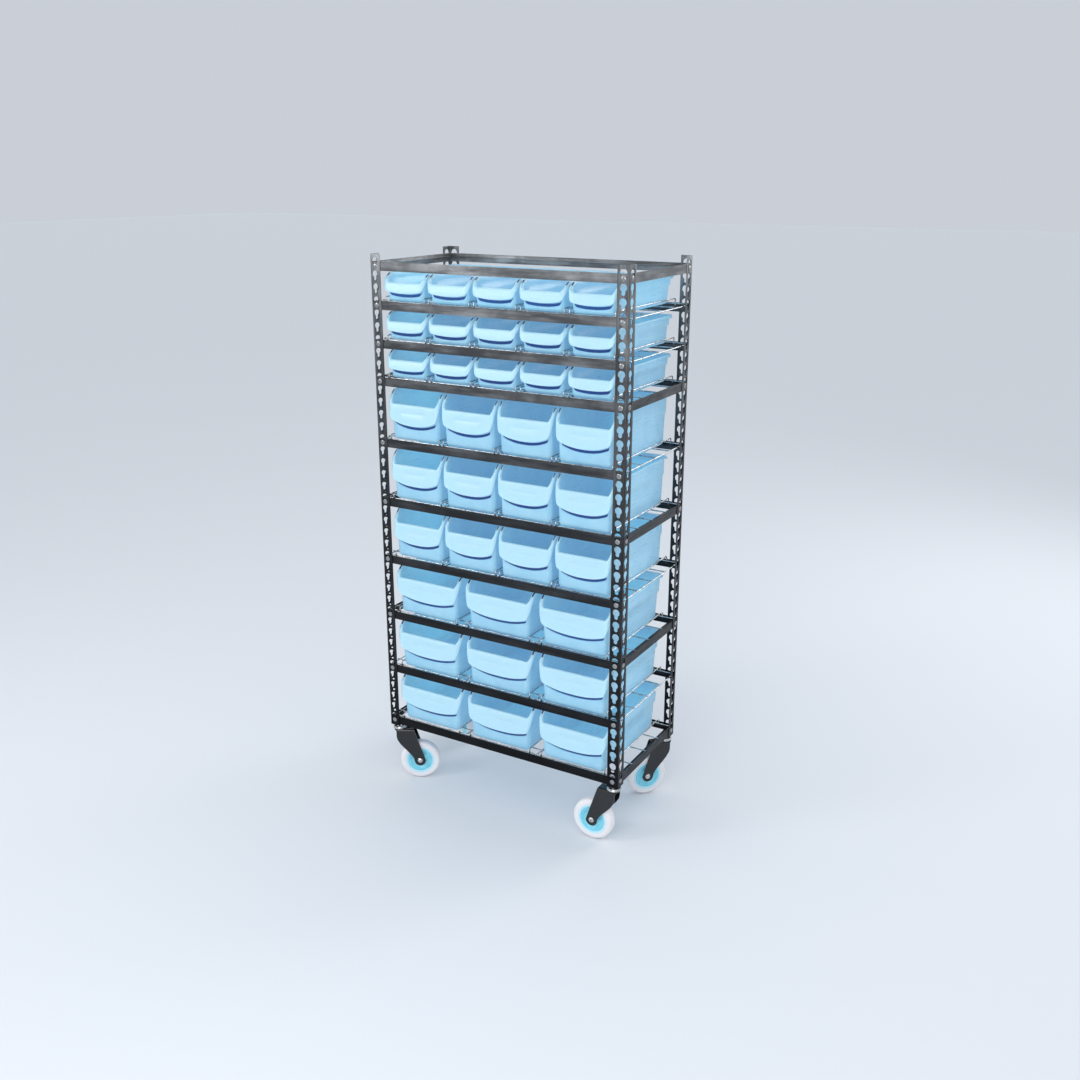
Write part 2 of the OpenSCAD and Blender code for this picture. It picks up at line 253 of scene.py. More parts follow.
# %% Worn dark steel for posts and beams, with light and shade painted by height
# Both ramps hold painted light: darker at the bottom and paler at the top, where light from above
# falls.
LACQUER_WITH_PAINTED_LIGHT_BY_HEIGHT = [(0.0, "#121316"), (0.5, "#2A2C2E"), (0.8, "#424446"), (1.0, "#5E6062")]
SCUFFED_WITH_PAINTED_LIGHT_BY_HEIGHT = [(0.0, "#1C1D20"), (0.5, "#45474A"), (0.8, "#7A7C7E"), (1.0, "#A8AAAB")]
# Up to this height the steel gets the darkest painted shade.
PAINTED_SHADE_BELOW = 0.2  # height of the darkest steel, m


def worn_steel_with_painted_light(name, streak):
    material, tree, shader = new_material(name, "#55585C", 0.85, 0.4)
    place = add_node(tree, "TexCoord")["Object"]
    height = add_node(tree, "SeparateXYZ", {"Vector": place})["Z"]
    # The height picks the painted light and shade of both ramps.
    level = {"Value": height, "From Min": cad_box[0][2] + PAINTED_SHADE_BELOW, "From Max": cad_box[1][2]}
    level = add_node(tree, "MapRange", level)["Result"]
    # The dark ramp is lacquer with painted shade low down; the light one is scuffed steel with painted
    # light.
    painted_dark = add_node(tree, "ValToRGB", {"Fac": level}, LACQUER_WITH_PAINTED_LIGHT_BY_HEIGHT)["Color"]
    scuffed_and_painted_light = add_node(tree, "ValToRGB", {"Fac": level}, SCUFFED_WITH_PAINTED_LIGHT_BY_HEIGHT)["Color"]
    along = add_node(tree, "Mapping", {"Vector": place, "Scale": streak})["Vector"]
    scuff = {"Vector": along, "Scale": 1 / (25 * MM), "Detail": 5, "Roughness": FINE}
    scuff = add_node(tree, "TexNoise", scuff)["Fac"]
    scuff = add_node(tree, "ValToRGB", {"Fac": scuff}, [(0.4, 0.0), (0.62, 1.0)])["Color"]
    dust = {"Vector": place, "Scale": 1 / (90 * MM), "Detail": 3, "Roughness": FINE}
    dust = add_node(tree, "TexNoise", dust)["Fac"]
    dust = add_node(tree, "ValToRGB", {"Fac": dust}, [(0.35, 0.25), (0.65, 1.0)])["Color"]
    wear = add_node(tree, "Math", {0: scuff, 1: dust}, operation="MULTIPLY")["Value"]
    worn = {FACTOR: wear, FIRST_COLOUR: painted_dark, SECOND_COLOUR: scuffed_and_painted_light}
    worn = add_node(tree, "Mix", worn, data_type="RGBA")[MIXED_COLOUR]
    grain = {"Vector": along, "Scale": 1 / (6 * MM), "Detail": 4, "Roughness": FINE}
    grain = add_node(tree, "TexNoise", grain)["Fac"]
    gloss = add_node(tree, "ValToRGB", {"Fac": grain}, [(0.3, 0.26), (0.7, 0.5)])["Color"]
    relief = {"Height": grain, "Distance": 0.1 * MM, "Strength": 0.3}
    relief = add_node(tree, "Bump", relief)["Normal"]
    set_inputs(tree, shader, {"Base Color": worn, "Roughness": gloss, "Normal": relief})
    return material


upright_steel = worn_steel_with_painted_light("worn_lacquered_steel_upright_painted_light", (1, 1, 0.12))
beam_steel = worn_steel_with_painted_light("worn_lacquered_steel_beam_painted_light", (0.12, 0.5, 1))
print("made", upright_steel.name, "and", beam_steel.name)

# %% [markdown]
# Wires, rivets and castor heads are bright zinc plate. It mirrors its surroundings but is never as
# clear as chrome: the plating has a fine grain, which spreads the highlights a little, and dull stains.


# %% Bright zinc plate
def zinc_plate(name, colour, rough_low, rough_high):
    material, tree, shader = new_material(name, colour, 1.0, rough_low)
    place = add_node(tree, "TexCoord")["Object"]
    grain = {"Vector": place, "Scale": 1 / (3 * MM), "Detail": 3, "Roughness": FINE}
    grain = add_node(tree, "TexNoise", grain)["Fac"]
    gloss = [(0.3, rough_low), (0.7, rough_high)]
    gloss = add_node(tree, "ValToRGB", {"Fac": grain}, gloss)["Color"]
    stain = {"Vector": place, "Scale": 1 / (14 * MM), "Detail": 3, "Roughness": FINE}
    stain = add_node(tree, "TexNoise", stain)["Fac"]
    stain = add_node(tree, "ValToRGB", {"Fac": stain}, [(0.35, "#9A9C9E"), (0.6, colour)])["Color"]
    set_inputs(tree, shader, {"Base Color": stain, "Roughness": gloss})
    return material


bright_wire = zinc_plate("bright_plated_wire", "#D5D7D8", 0.16, 0.3)
plated_head = zinc_plate("plated_castor_steel", "#DADCDD", 0.1, 0.24)
rivet_plate = zinc_plate("plated_rivet_steel", "#97999B", 0.2, 0.4)
print("made three plated finishes")

# %% [markdown]
# The castors bring three more finishes: gloss black enamel on the pressed forks, a matt moulded nylon
# for the pale cyan hubs, and off-white rubber that marks no floor. Road dirt greys the rubber in faint
# patches, and next to the hub it takes on the hub's cyan.


# %% Enamel for the forks
def black_enamel():
    material, tree, shader = new_material(
        "black_enamel_on_steel", "#08090B", 0.0, 0.22, Coat_Weight=0.3, Coat_Roughness=0.12
    )
    place = add_node(tree, "TexCoord")["Object"]
    dust = {"Vector": place, "Scale": 1 / (18 * MM), "Detail": 4, "Roughness": FINE}
    dust = add_node(tree, "TexNoise", dust)["Fac"]
    dust = add_node(tree, "ValToRGB", {"Fac": dust}, [(0.45, "#08090B"), (0.85, "#1C1E21")])["Color"]
    flow = {"Vector": place, "Scale": 1 / (2.5 * MM), "Detail": 2, "Roughness": FINE}
    flow = add_node(tree, "TexNoise", flow)["Fac"]
    relief = {"Height": flow, "Distance": 0.05 * MM, "Strength": 0.3}
    relief = add_node(tree, "Bump", relief)["Normal"]
    set_inputs(tree, shader, {"Base Color": dust, "Normal": relief})
    return material


fork_enamel = black_enamel()
print("made", fork_enamel.name)


# %% Nylon for the hubs
def moulded_nylon():
    material, tree, shader = new_material(
        "moulded_cyan_nylon", "#8CDDF0", 0.0, 0.42, Subsurface_Weight=0.1, Subsurface_Scale=0.004
    )
    place = add_node(tree, "TexCoord")["Object"]
    tint = {"Vector": place, "Scale": 1 / (22 * MM), "Detail": 3, "Roughness": FINE}
    tint = add_node(tree, "TexNoise", tint)["Fac"]
    tint = add_node(tree, "ValToRGB", {"Fac": tint}, [(0.3, "#7FD3E8"), (0.7, "#97E4F5")])["Color"]
    grain = {"Vector": place, "Scale": 1 / (3 * MM), "Detail": 2, "Roughness": FINE}
    grain = add_node(tree, "TexNoise", grain)["Fac"]
    relief = {"Height": grain, "Distance": 0.06 * MM, "Strength": 0.3}
    relief = add_node(tree, "Bump", relief)["Normal"]
    set_inputs(tree, shader, {"Base Color": tint, "Normal": relief})
    return material


hub_nylon = moulded_nylon()
print("made", hub_nylon.name)


# %% Rubber for the tyres
def pale_rubber():
    material, tree, shader = new_material("off_white_rubber", "#E4E2E6", 0.0, 0.6)
    place = add_node(tree, "TexCoord")["Object"]
    dirt = {"Vector": place, "Scale": 1 / (40 * MM), "Detail": 4, "Roughness": FINE}
    dirt = add_node(tree, "TexNoise", dirt)["Fac"]
    dirt = add_node(tree, "ValToRGB", {"Fac": dirt}, [(0.3, "#DEDCE0"), (0.75, "#E9E8EA")])["Color"]
    near_hub = add_node(tree, "Attribute", attribute_name="near_hub")["Fac"]
    tint = {FACTOR: near_hub, FIRST_COLOUR: dirt, SECOND_COLOUR: linear("#8FDDF0")}
    tint = add_node(tree, "Mix", tint, data_type="RGBA")[MIXED_COLOUR]
    rubbed = {"Vector": place, "Scale": 1 / (5 * MM), "Detail": 3, "Roughness": FINE}
    rubbed = add_node(tree, "TexNoise", rubbed)["Fac"]
    rubbed = add_node(tree, "ValToRGB", {"Fac": rubbed}, [(0.3, 0.5), (0.7, 0.72)])["Color"]
    grain = {"Vector": place, "Scale": 1 / (1.5 * MM), "Detail": 2, "Roughness": FINE}
    grain = add_node(tree, "TexNoise", grain)["Fac"]
    relief = {"Height": grain, "Distance": 0.05 * MM, "Strength": 0.4}
    relief = add_node(tree, "Bump", relief)["Normal"]
    set_inputs(tree, shader, {"Base Color": tint, "Roughness": rubbed, "Normal": relief})
    return material


tyre_rubber = pale_rubber()
print("made", tyre_rubber.name)

# %% [markdown]
# Posts, beams, decks and hoops keep their CAD shape, which already has the bent corners and the
# keyholes. They only need their finish: every material slot of such a node is given the new material.

# %% Finish the steel that stays as it is
FINISH_OF_NODE = {"deck_wires": bright_wire, "guide_hoops": bright_wire, "foot_plates": upright_steel}
for side in ("front", "back"):
    FINISH_OF_NODE[side + "_beams"] = beam_steel
    for hand in ("left", "right"):
        FINISH_OF_NODE[f"post_{side}_{hand}"] = upright_steel
FINISH_OF_NODE["side_beams"] = worn_steel_with_painted_light("worn_lacquered_steel_brace_painted_light", (0.5, 0.12, 1))
for node_name, finish in FINISH_OF_NODE.items():
    for slot in frame["nodes"][node_name].material_slots:
        slot.material = finish
print("finished", len(FINISH_OF_NODE), "nodes")

# %% [markdown]
# Every bin is one thin shell. Seen from the side its front is cut down in a curve, so that a hand can
# reach in, and the edge of the sheet rolls over outwards all the way round: 4 mm over the sides, a long
# hook at the back, and a deep lip across the front that can hold a label.
#
# A good way to model such a shell is to follow the path of the sheet. A ring of points starts on the
# floor. Extruding the ring again and again, and placing each new ring by a rule, draws the floor, the
# walls, the roll of the rim and the skirt outside it in one piece. A Solidify modifier then gives the
# sheet its thickness.

# %% Sizes of the bins, in mm
BIN_SIZES = {
    "across": (5, 4, 3),  # bins side by side on one deck
    "foot": (130, 172, 214),  # width at the floor
    "lip_low": (25, 49, 52),  # lower edge of the lip, in the middle
    "lip_high": (56, 112, 118),
    "bow": (5, 15, 15),  # how much higher that edge is at the corners
    "shoulder": (26, 52, 50),  # drop from the rim to the step in the wall
    # The groove under the lip is painted dark as painted shade.
    "hidden": (2, 4, 6.5),  # start of the dark groove above the lip's lower edge
    "shadow": (11, 10.5, 9),  # height of that groove
}
BIN_SHAPES = {
    kind: {size: values[index] for size, values in BIN_SIZES.items()}
    for index, kind in enumerate(("small", "medium", "large"))
}
SHEET = 2.5  # wall thickness
LIP_REACH = 12  # front wall behind the lip
RIM_START = 42  # where the straight rim begins behind the front
RIM_REACH = 4  # overhang of the side rim
HANGER_REACH = 17  # overhang of the hook at the back
HANGER_DROP = 12  # its skirt
FOOT_CORNER = 13  # inner radius of the upright corners at the floor
RIM_CORNER = 6  # and at the rim
RIM_DROP = 5  # skirt of the straight side rim
CORNER_DROP = 14  # and where it meets the front corner
SHOULDER_RISE = 5  # height of the step in the wall
print("bin kinds:", list(BIN_SHAPES))


# %% [markdown]
# The ring has fixed stations: across the front, round the front corner, along the side, round the back
# corner and across the back. A station knows how high the rim is there and how low the skirt hangs.
# Half of them are listed, and the left half mirrors the right. The lower edge of the lip hangs in a
# bow, climbs round the corners and runs on as the narrow skirt of the side rim.


# %% Stations round a bin
FRONT_INNER = LIP_REACH + SHEET
SIDE_START = FRONT_INNER + RIM_CORNER
SKIRT_RUN = 34  # length over which the side skirt narrows


def rim_height(shape, back_from_front):
    reach = RIM_START - FRONT_INNER
    run = min(max((back_from_front - FRONT_INNER) / reach, 0.0), 1.0)
    rise = math.sqrt(1 - (1 - run) ** 2)
    return mix(shape["lip_high"], shape["height"], rise)


def stations(shape):
    found = [{"zone": "front", "at": share} for share in (0, 0.2, 0.4, 0.6, 0.75, 0.87, 0.95, 1)]
    for angle in (15, 30, 45, 60, 75, 90):
        found.append({"zone": "front_corner", "at": math.radians(angle)})
    back = shape["back"] - RIM_CORNER
    for y in (22, 25, 28, 31, 34, 38, RIM_START, 48, 56, 80, 130, 200, 280, back):
        found.append({"zone": "side", "at": y})
    for angle in (22, 45, 68, 90):
        found.append({"zone": "back_corner", "at": math.radians(angle)})
    for share in (0.6, 0.0):
        found.append({"zone": "back", "at": share})
    return found


def inner_half(shape, z):
    top = shape["width"] / 2 - RIM_REACH - SHEET - shape["shoulder_step"]
    return mix(shape["foot"] / 2 - SHEET, top, z / shape["height"])


def skirt_edge(shape, station):
    """Height of the skirt's lower edge."""
    at = station["at"]
    corner_low = rim_height(shape, SIDE_START) - CORNER_DROP
    if station["zone"] == "front":
        return shape["lip_low"] + shape["bow"] * at**2.5
    if station["zone"] == "front_corner":
        share = smoothstep(at / (math.pi / 2))
        return mix(shape["lip_low"] + shape["bow"], corner_low, share)
    if station["zone"] == "side":
        narrowed = smoothstep((at - SIDE_START) / SKIRT_RUN)
        return rim_height(shape, at) - mix(CORNER_DROP, RIM_DROP, narrowed)
    share = 1.0 if station["zone"] == "back" else at / (math.pi / 2)
    return shape["height"] - mix(RIM_DROP, HANGER_DROP, smoothstep(share))


print("stations on half a medium bin:", len(stations({**BIN_SHAPES["medium"], "back": 366})))


# %% [markdown]
# Next comes the rule itself. For one station it gives the path of the sheet: a list of heights and
# offsets from the inner wall. All paths have the same number of points, so the rings join up cleanly.
# Under the lip the wall steps in by two millimetres, where the lip keeps the light away. The numbers of
# a few rings get a name, because faces between them are picked out later.


# %% Path of the sheet at one station
LIP_TILT = 3.5  # how far the lip leans out
LIP_ROUND, CORNER_ROUND, SIDE_ROUND = 5.0, 3.5, 2.0  # radius of the rim's outer edge
GROOVE = 2.2  # depth of the step under the lip
GROOVE_END = 0.9  # where that step runs out, as an angle round the corner
SHOULDER_GAP = 14  # least drop from the rim to the shoulder
SWELL_START, SWELL_RUN = SIDE_START + 8, 36  # where the shoulder grows out of the side
GROOVE_LEVEL, RIM_LEVEL, FLANGE_LEVEL, LABEL_LEVEL, PATH_POINTS = 5, 11, 13, 17, 21


def sheet_path(shape, station):
    zone, at, step = station["zone"], station["at"], shape["shoulder_step"]
    low = skirt_edge(shape, station)
    front = low if zone.startswith("front") else shape["lip_low"] + shape["bow"]
    shoulder = shape["height"] - shape["shoulder"] - SHOULDER_RISE
    top, swell, tilt, round_r = shape["height"], step, 0.0, SIDE_ROUND
    reach = shape["width"] / 2 - inner_half(shape, top)
    groove = 0.0
    if zone == "front":
        top, swell, tilt, round_r = shape["lip_high"], 0.0, LIP_TILT, LIP_ROUND
        reach, shoulder = FRONT_INNER, front + 3
        groove = GROOVE
    elif zone == "front_corner":
        share = smoothstep(at / (math.pi / 2))
        top = rim_height(shape, FRONT_INNER + RIM_CORNER * (1 - math.cos(at)))
        swell, tilt, round_r = 0.0, LIP_TILT * (1 - share), mix(LIP_ROUND, CORNER_ROUND, share)
        groove = GROOVE * max(0.0, 1 - at / GROOVE_END)
        reach = mix(FRONT_INNER, shape["width"] / 2 - inner_half(shape, top), share)
        shoulder = min(mix(front + 3, shoulder, share), top - SHOULDER_GAP)
    elif zone == "side":
        top = rim_height(shape, at)
        swell = step * smoothstep((at - SWELL_START) / SWELL_RUN)
        reach = shape["width"] / 2 - inner_half(shape, top)
        shoulder = min(shoulder, top - SHOULDER_GAP)
        round_r = mix(CORNER_ROUND, SIDE_ROUND, smoothstep((at - SIDE_START) / 20))
    else:
        share = 1.0 if zone == "back" else at / (math.pi / 2)
        reach = mix(reach, HANGER_REACH + SHEET + step, share)
    high = min(front - shape["hidden"], shoulder - 4)
    dip = high - shape["shadow"]
    path = [(SHEET, -16), (SHEET, -7), (SHEET + 2, -2), (SHEET + 7, 0)]
    path += [(dip - 1, 0), (dip, -groove), (high, -groove), (high + 1, 0)]
    crest = shoulder + SHOULDER_RISE
    path += [(shoulder, 0), (crest, swell), (mix(crest, top - 3, 0.5), swell)]
    path += [(top - 3, swell), (top - 0.9, swell + 0.9), (top, swell + 3)]
    edge = max(reach - tilt, swell + 3.2 + round_r)
    path += [(top, edge - round_r), (top - 0.3 * round_r, edge - 0.3 * round_r)]
    path += [(top - round_r, edge)]
    for share in (0.3, 0.42, 0.8, 1.0):
        z = mix(top - round_r, low, share)
        path.append((z, edge + tilt * smoothstep(share / 0.8)))
    return path


print("path points:", PATH_POINTS)


# %% [markdown]
# A second rule turns a height and an offset into a point beside the station. The upright corners are
# rounder at the floor than at the rim, so the straight parts between them grow with the height.


# %% Point of the sheet beside a station
def station_point(shape, station, level, z, out):
    zone, at = station["zone"], station["at"]
    half, back = inner_half(shape, z), shape["back"]
    corner = RIM_CORNER
    if level < RIM_LEVEL:
        corner = mix(FOOT_CORNER, RIM_CORNER, smoothstep(z / shape["lip_high"]))
    straight = half - corner
    if zone == "front":
        return at * straight, FRONT_INNER - out
    if zone == "front_corner":
        reach = corner + out
        return straight + reach * math.sin(at), FRONT_INNER + corner - reach * math.cos(at)
    if zone == "side":
        start, end = FRONT_INNER + corner, back - corner
        rim_start, rim_end = SIDE_START, back - RIM_CORNER
        return half + out, mix(start, end, (at - rim_start) / (rim_end - rim_start))
    if zone == "back_corner":
        reach = corner + out
        return straight + reach * math.cos(at), back - corner + reach * math.sin(at)
    return at * straight, back + out


print("rounding at the floor and at the rim:", FOOT_CORNER, RIM_CORNER)


# %% [markdown]
# The shell is built from these rules with operators only: a capped circle makes the floor, and each
# extrusion of its edge adds a ring. The floor is then poked into a fan of triangles, because one face
# with so many corners is filled badly and shows a dark sliver. A short stretch of the rim behind each
# front corner is pressed in, where the real bin has a slot for the stacking lug of the bin above. On
# the lip an inset pushes the label area back by less than half a millimetre. The faces of the slots
# and of the step under the lip carry an attribute that paints deep blue shade there, and those of the
# rolled edge carry one that paints them paler, as painted light.


# %% Rings and the faces between them
def next_ring(bm, ring):
    edges = [bm.edges.get((a, b)) for a, b in zip(ring, ring[1:] + ring[:1])]
    made = bmesh.ops.extrude_edge_only(bm, edges=edges)["geom"]
    new = {v for v in made if isinstance(v, bmesh.types.BMVert)}
    return [next(e.other_vert(v) for e in v.link_edges if e.other_vert(v) in new) for v in ring]


def faces_between(rings, level, keep):
    pair = set(rings[level]) | set(rings[level + 1])
    near = {f for v in rings[level] for f in v.link_faces}
    return [f for f in near if set(f.verts) <= pair and keep(f.calc_center_median() / MM)]


print("ring helpers ready")

# %% Build one bin shell
SLOT_START, SLOT_END = 23, 33  # the slot in the rim, behind the front
SLOT_DEPTH, LABEL_DEPTH = 1.6, 0.45
LABEL_SHARE = 0.72  # width of the label area as a share of the flat front


def bin_shell(shape, label):
    half = stations(shape)
    loop = [(s, 1) for s in half] + [(s, -1) for s in half[-2:0:-1]]
    paths = [sheet_path(shape, station) for station, _ in loop]
    bm = bmesh.new()
    ring = bmesh.ops.create_circle(bm, cap_ends=True, segments=len(loop), radius=1)["verts"]
    rings = [ring]
    for _ in paths[0][1:]:
        rings.append(next_ring(bm, rings[-1]))
    for level, ring in enumerate(rings):
        for vert, (station, hand), path in zip(ring, loop, paths):
            z, out = path[level]
            x, y = station_point(shape, station, level, z, out)
            vert.co = Vector((hand * x, y, z)) * MM
    bmesh.ops.recalc_face_normals(bm, faces=bm.faces)
    floor = max(bm.faces, key=lambda f: len(f.verts))
    if floor.normal.z < 0:
        bmesh.ops.reverse_faces(bm, faces=bm.faces)
    bmesh.ops.poke(bm, faces=[floor])
    # Face attributes that paint light: painted shade on the groove and the slots, and a paler painted
    # rim.
    painted_shade_gap = bm.faces.layers.float.new("painted_shade_gap")
    rolled_edge_painted_light = bm.faces.layers.float.new("rolled_edge_painted_light")
    # The rolled edge gets the paler painted light.
    for level in range(RIM_LEVEL, PATH_POINTS - 1):
        for face in faces_between(rings, level, lambda c: c.y < RIM_START):
            face[rolled_edge_painted_light] = 1.0
    end = inner_half(shape, shape["lip_low"]) - FOOT_CORNER
    # The step under the lip is painted dark: painted shade.
    painted_dark = faces_between(
        rings, GROOVE_LEVEL, lambda c: c.y < FRONT_INNER + 5 and abs(c.x) < end + 7
    )
    # The slots are pressed in and also painted dark as painted shade.
    slots = faces_between(rings, FLANGE_LEVEL, lambda c: SLOT_START < c.y < SLOT_END)
    pressed = bmesh.ops.inset_region(bm, faces=slots, thickness=0.4 * MM, depth=-SLOT_DEPTH * MM)
    for face in painted_dark + slots + pressed["faces"]:
        face[painted_shade_gap] = 1.0
    if label:
        reach = LABEL_SHARE * end
        band = faces_between(rings, LABEL_LEVEL, lambda c: c.y < 4 and abs(c.x) < reach)
        bmesh.ops.inset_region(bm, faces=band, thickness=1.0 * MM, depth=-LABEL_DEPTH * MM)
    return bm


print("slot from", SLOT_START, "to", SLOT_END)

# %% [markdown]
# A shell is made once for each kind and copied to every place. The box of the CAD bin gives the place,
# and each copy rides on the body of its own bin, so that it pulls out by itself. The small bins have no
# label area.


# %% Place all the bins
def place_bin(kind, row, column, shell):
    node = f"{kind}_bin_{row}_{column}"
    low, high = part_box(node)
    bm = shell.copy()
    bmesh.ops.translate(bm, verts=bm.verts, vec=((low.x + high.x) / 2, low.y, low.z))
    piece = finish_piece(
        "shell_" + node, bm, "pull_" + node, blue_plastic, replaces=(node,)
    )
    wall = piece.modifiers.new("sheet_thickness", "SOLIDIFY")
    wall.thickness = SHEET * MM
    wall.offset = -1
    soften(piece, bevel=0.5, angle=50)


for kind, shape in BIN_SHAPES.items():
    low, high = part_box(f"{kind}_bin_1_1")
    size = (high - low) / MM
    shape["width"], shape["height"] = size.x, size.z
    taper = (size.x - shape["foot"]) / 2 - RIM_REACH
    shape["shoulder_step"] = min(4.5, 0.7 * taper)
    shape["back"] = size.y - HANGER_REACH - SHEET - shape["shoulder_step"]
    shell = bin_shell(shape, label=kind != "small")
    for row in (1, 2, 3):
        for column in range(1, shape["across"] + 1):
            place_bin(kind, row, column, shell)
    print(kind, "bins:", [round(v, 1) for v in size], "faces:", len(shell.faces))
    shell.free()

# %% [markdown]
# Rivets hold the beams in the keyholes of the posts. Each has a straight shank and a low domed head.
# One profile is spun round its axis and the result is copied to every corner and level. The levels
# come from the bins, which all stand level with the top of a beam, and from the top beam, which carries
# none.

# %% Rivet places
front_low, front_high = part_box("post_front_right")
back_low, back_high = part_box("post_back_right")
top_of_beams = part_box("front_beams")[1].z
BEAM_HEIGHT = 26.4 * MM
BRACED_LEVELS = (0, 2, 4, 6, 9)
bin_nodes = [node["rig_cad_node"] for node in frame["nodes"].values() if "_bin_" in node.name]
beam_tops = sorted({round(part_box(node)[0].z, 4) for node in bin_nodes}) + [top_of_beams]
brace_tops = [beam_tops[level] for level in BRACED_LEVELS]
print("beam tops:", [round(z / MM) for z in beam_tops])


# %% Helpers for turned pieces
UP = Vector((0, 0, 1))


def spun(profile, steps, axis=UP):
    bm = bmesh.new()
    verts = [bm.verts.new((r * MM, 0, z * MM)) for r, z in profile]
    edges = [bm.edges.new(pair) for pair in zip(verts, verts[1:])]
    bmesh.ops.spin(
        bm,
        geom=verts + edges,
        cent=(0, 0, 0),
        axis=UP,
        angle=2 * math.pi,
        steps=steps,
        use_merge=True,
    )
    bmesh.ops.remove_doubles(bm, verts=bm.verts, dist=1e-6)
    bmesh.ops.recalc_face_normals(bm, faces=bm.faces)
    turn = UP.rotation_difference(Vector(axis)).to_matrix()
    bmesh.ops.transform(bm, matrix=turn.to_4x4(), verts=bm.verts)
    return bm


def join_copies(pattern, places):
    whole = bmesh.new()
    scratch = bpy.data.meshes.new("scratch")
    for matrix in places:
        copy = pattern.copy()
        bmesh.ops.transform(copy, matrix=matrix, verts=copy.verts)
        copy.to_mesh(scratch)
        copy.free()
        whole.from_mesh(scratch)
    bpy.data.meshes.remove(scratch)
    return whole


def facing(direction, place):
    turn = UP.rotation_difference(Vector(direction)).to_matrix().to_4x4()
    return Matrix.Translation(place) @ turn


def shade_turned(piece, angle):
    piece.data.shade_smooth()
    piece.data.set_sharp_from_angle(angle=math.radians(angle))


print("turning helpers ready")

# %% Domed rivets
RIVET_PROFILE = [(0, -2), (5.6, -2), (5.6, 0), (7.6, 0), (7.5, 0.5), (6.3, 1.1), (4, 1.4), (0, 1.5)]
rivet = spun(RIVET_PROFILE, 14)
face_x = (front_low.x + front_high.x) / 2
brace_y = [(front_low.y + front_high.y) / 2, (back_low.y + back_high.y) / 2]
rivet_places = []
for hand in (-1, 1):
    for top in beam_tops:
        z = top - BEAM_HEIGHT / 2
        rivet_places.append(facing((0, -1, 0), (hand * face_x, front_low.y, z)))
        rivet_places.append(facing((0, 1, 0), (hand * face_x, back_high.y, z)))
    for top in brace_tops:
        z = top - BEAM_HEIGHT / 2
        for y in brace_y:
            rivet_places.append(facing((hand, 0, 0), (hand * front_high.x, y, z)))
rivets = finish_piece(
    "domed_rivets",
    join_copies(rivet, rivet_places),
    "rack",
    rivet_plate,
    replaces=("beam_rivets",),
)
shade_turned(rivets, 50)
print("rivets:", len(rivet_places))

# %% [markdown]
# A castor head is a stack of turned and hexagonal steel: a lock nut inside the post, a hexagon under
# it, and a ball race with rounded edges that the fork swivels on. Round parts are spun from a profile.
# Hexagons are six-sided cones whose corners are turned down, which is what a bevel does.


# %% Helpers for hexagons
def hexagon(radius, low, high):
    bm = bmesh.new()
    bmesh.ops.create_cone(
        bm,
        cap_ends=True,
        segments=6,
        radius1=radius * MM,
        radius2=radius * MM,
        depth=(high - low) * MM,
        matrix=Matrix.Translation((0, 0, (low + high) / 2 * MM)),
    )
    bmesh.ops.bevel(
        bm,
        geom=bm.edges[:],
        affect="EDGES",
        offset=0.8 * MM,
        offset_type="OFFSET",
        segments=2,
        profile=0.5,
        material=-1,
    )
    return bm


def merge_into(target, source):
    scratch = bpy.data.meshes.new("scratch")
    source.to_mesh(scratch)
    source.free()
    target.from_mesh(scratch)
    bpy.data.meshes.remove(scratch)


print("hexagon helpers ready")

# %% Castor heads
HEXAGON_HEIGHT, RACE_HEIGHT = 6, 10
BASE_R, NUT_R = 15, 10
STEM_FOOT, STEM_TOP = (corner.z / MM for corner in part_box("castor_stems"))
POST_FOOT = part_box("foot_plates")[0].z / MM
race_top = POST_FOOT - HEXAGON_HEIGHT
race_low = race_top - RACE_HEIGHT
head = spun(
    [
        (0, STEM_FOOT),
        (11, STEM_FOOT),
        (12, STEM_FOOT + 1),
        (12, STEM_FOOT + 4),
        (8, STEM_FOOT + 4),
        (8, race_low),
        (20, race_low),
        (22.3, race_low + 1),
        (23, race_low + 2.6),
        (22, race_low + 4.4),
        (20.4, race_low + 5),
        (20.2, race_low + 5.8),
        (21.4, race_low + 6.8),
        (20.6, race_low + 8.6),
        (18, race_top - 0.4),
        (15, race_top),
        (8, race_top),
        (8, STEM_TOP - 1),
        (7, STEM_TOP),
        (0, STEM_TOP),
    ],
    32,
)
merge_into(head, hexagon(BASE_R, race_top, POST_FOOT))
merge_into(head, hexagon(NUT_R, POST_FOOT + 3, POST_FOOT + 10))
joints = {joint["name"]: joint for joint in record["behaviour"]["joints"]}
corners = [name.removeprefix("swivel_") for name in joints if name.startswith("swivel_")]
head_places = []
for corner in corners:
    x, y, _ = joints["swivel_" + corner]["pos_m"]
    head_places.append(Matrix.Translation((x, y, 0)))
heads = finish_piece(
    "castor_heads",
    join_copies(head, head_places),
    "rack",
    plated_head,
    replaces=("castor_stems",),
)
shade_turned(heads, 35)
print("castor heads:", len(head_places))

# %% [markdown]
# The fork is one strip of sheet steel pressed into an arch: up one side of the wheel, over the top with
# a rounded bend, and down the other. The strip is broad over the wheel and tapers to a round foot at
# the axle. A flat grid follows that path when its rows run up, over and down, and its columns run
# between the two edges of the strip. Solidify gives the sheet its 3 mm.

# %% Sizes of the fork, in mm
FORK_TOP = 184.7
FORK_HALF = 20.5  # outer faces of the legs, from the middle
FORK_SHEET = 3
TRAIL = 66  # from the swivel's axis back to the axle
AXLE_Z = 67
FOOT_R = 19  # round end of a leg, about the axle
BEND_R = 8
REAR_TOP, NOSE_TOP = 47, -11  # the strip's edges at the top of the arch
NOSE_BULGE = 8.5  # the round front of the top
print("fork:", FORK_TOP, "high,", 2 * FORK_HALF, "wide")


